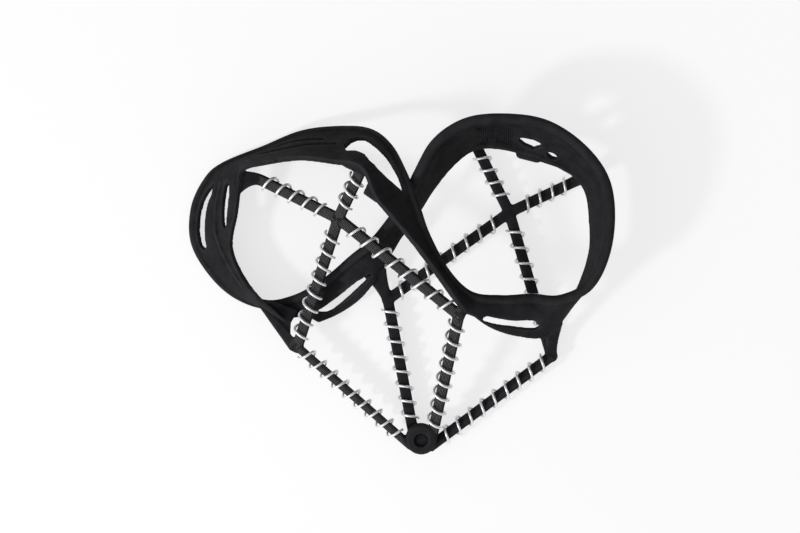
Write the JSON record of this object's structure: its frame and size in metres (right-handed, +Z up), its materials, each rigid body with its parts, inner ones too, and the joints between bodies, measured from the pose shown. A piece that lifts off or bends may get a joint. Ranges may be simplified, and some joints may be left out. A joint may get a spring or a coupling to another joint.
{
  "type": "ice cleat",
  "caption": "Slip-on rubber ice cleat, a stretchy harness with steel coils wound round its sole cords, lying folded over at its hub.",
  "frame": {"origin": "middle of the folded cleat's footprint, on the floor it lies on", "axes": "+X across the two halves, from the toe half to the heel half; +Y from the hub towards the far ends of both halves; +Z up from the floor"},
  "size_m": [0.1892, 0.1512, 0.0508],
  "materials": {
    "rubber": "satin moulded rubber with a fine grain",
    "wire": "bright zinc-plated wire"
  },
  "bodies": {
    "harness": {"toe_left_wall": "rubber", "toe_bead": "rubber", "toe_edge_strap": "rubber", "toe_left_strip": "rubber", "toe_far_strip": "rubber", "toe_near_panel": "rubber", "toe_left_panel": "rubber", "toe_right_panel": "rubber", "toe_right_wall": "rubber", "right_arch_strap": "rubber", "right_arch_bar": "rubber", "heel_right_wall": "rubber", "heel_side_wall": "rubber", "heel_bead": "rubber", "heel_strip": "rubber", "heel_edge_strap": "rubber", "heel_far_wall": "rubber", "heel_left_wall": "rubber", "left_arch_strap": "rubber", "left_arch_bar": "rubber", "hub": "rubber", "toe_cross_plate": "rubber", "heel_cross_plate": "rubber", "toe_left_corner": "rubber", "toe_right_corner": "rubber", "heel_left_corner": "rubber", "heel_right_corner": "rubber", "toe_left_tab": "rubber", "toe_right_tab": "rubber", "heel_left_tab": "rubber", "heel_right_tab": "rubber", "toe_left_leg_cord": "rubber", "toe_right_leg_cord": "rubber", "heel_left_leg_cord": "rubber", "heel_right_leg_cord": "rubber", "toe_left_near_arm_cord": "rubber", "toe_right_near_arm_cord": "rubber", "toe_left_far_arm_cord": "rubber", "toe_right_far_arm_cord": "rubber", "heel_left_near_arm_cord": "rubber", "heel_right_near_arm_cord": "rubber", "heel_left_far_arm_cord": "rubber", "heel_right_far_arm_cord": "rubber"},
    "toe_left_leg_coil": {"toe_left_leg_coil": "wire"},
    "toe_right_leg_coil": {"toe_right_leg_coil": "wire"},
    "heel_left_leg_coil": {"heel_left_leg_coil": "wire"},
    "heel_right_leg_coil": {"heel_right_leg_coil": "wire"},
    "toe_left_near_arm_coil": {"toe_left_near_arm_coil": "wire"},
    "toe_right_near_arm_coil": {"toe_right_near_arm_coil": "wire"},
    "toe_left_far_arm_coil": {"toe_left_far_arm_coil": "wire"},
    "toe_right_far_arm_coil": {"toe_right_far_arm_coil": "wire"},
    "heel_left_near_arm_coil": {"heel_left_near_arm_coil": "wire"},
    "heel_right_near_arm_coil": {"heel_right_near_arm_coil": "wire"},
    "heel_left_far_arm_coil": {"heel_left_far_arm_coil": "wire"},
    "heel_right_far_arm_coil": {"heel_right_far_arm_coil": "wire"}
  },
  "joints": [
    {"name": "toe_left_leg_coil_turn", "type": "hinge", "parent": "harness", "child": "toe_left_leg_coil", "pos_m": [-0.0445, -0.027, 0.013], "axis": [0.7485, -0.6605, -0.0587], "continuous": true},
    {"name": "toe_right_leg_coil_turn", "type": "hinge", "parent": "harness", "child": "toe_right_leg_coil", "pos_m": [0.027, -0.012, 0.04], "axis": [-0.1734, -0.8669, -0.4674], "continuous": true},
    {"name": "heel_left_leg_coil_turn", "type": "hinge", "parent": "harness", "child": "heel_left_leg_coil", "pos_m": [-0.004, -0.006, 0.0056], "axis": [0.1886, -0.9821, 0], "continuous": true},
    {"name": "heel_right_leg_coil_turn", "type": "hinge", "parent": "harness", "child": "heel_right_leg_coil", "pos_m": [0.07, -0.0315, 0.006], "axis": [-0.8008, -0.5988, -0.0072], "continuous": true},
    {"name": "toe_left_near_arm_coil_turn", "type": "hinge", "parent": "harness", "child": "toe_left_near_arm_coil", "pos_m": [-0.0445, -0.027, 0.013], "axis": [0.3015, 0.9045, 0.3015], "continuous": true},
    {"name": "toe_right_near_arm_coil_turn", "type": "hinge", "parent": "harness", "child": "toe_right_near_arm_coil", "pos_m": [0.027, -0.012, 0.04], "axis": [-0.7754, 0.6203, -0.1182], "continuous": true},
    {"name": "toe_left_far_arm_coil_turn", "type": "hinge", "parent": "harness", "child": "toe_left_far_arm_coil", "pos_m": [-0.0595, 0.047, 0.022], "axis": [0.865, -0.4325, 0.2544], "continuous": true},
    {"name": "toe_right_far_arm_coil_turn", "type": "hinge", "parent": "harness", "child": "toe_right_far_arm_coil", "pos_m": [-0.016, 0.049, 0.044], "axis": [-0.3894, -0.7788, -0.4918], "continuous": true},
    {"name": "heel_left_near_arm_coil_turn", "type": "hinge", "parent": "harness", "child": "heel_left_near_arm_coil", "pos_m": [-0.004, -0.006, 0.0056], "axis": [0.8122, 0.5833, -0.0103], "continuous": true},
    {"name": "heel_right_near_arm_coil_turn", "type": "hinge", "parent": "harness", "child": "heel_right_near_arm_coil", "pos_m": [0.07, -0.0315, 0.006], "axis": [-0.2805, 0.9597, -0.0162], "continuous": true},
    {"name": "heel_left_far_arm_coil_turn", "type": "hinge", "parent": "harness", "child": "heel_left_far_arm_coil", "pos_m": [0.0375, 0.0605, 0.0056], "axis": [0.4471, -0.8942, -0.0232], "continuous": true},
    {"name": "heel_right_far_arm_coil_turn", "type": "hinge", "parent": "harness", "child": "heel_right_far_arm_coil", "pos_m": [0.0785, 0.0465, 0.0056], "axis": [-0.9038, -0.4273, -0.023], "continuous": true}
  ]
}
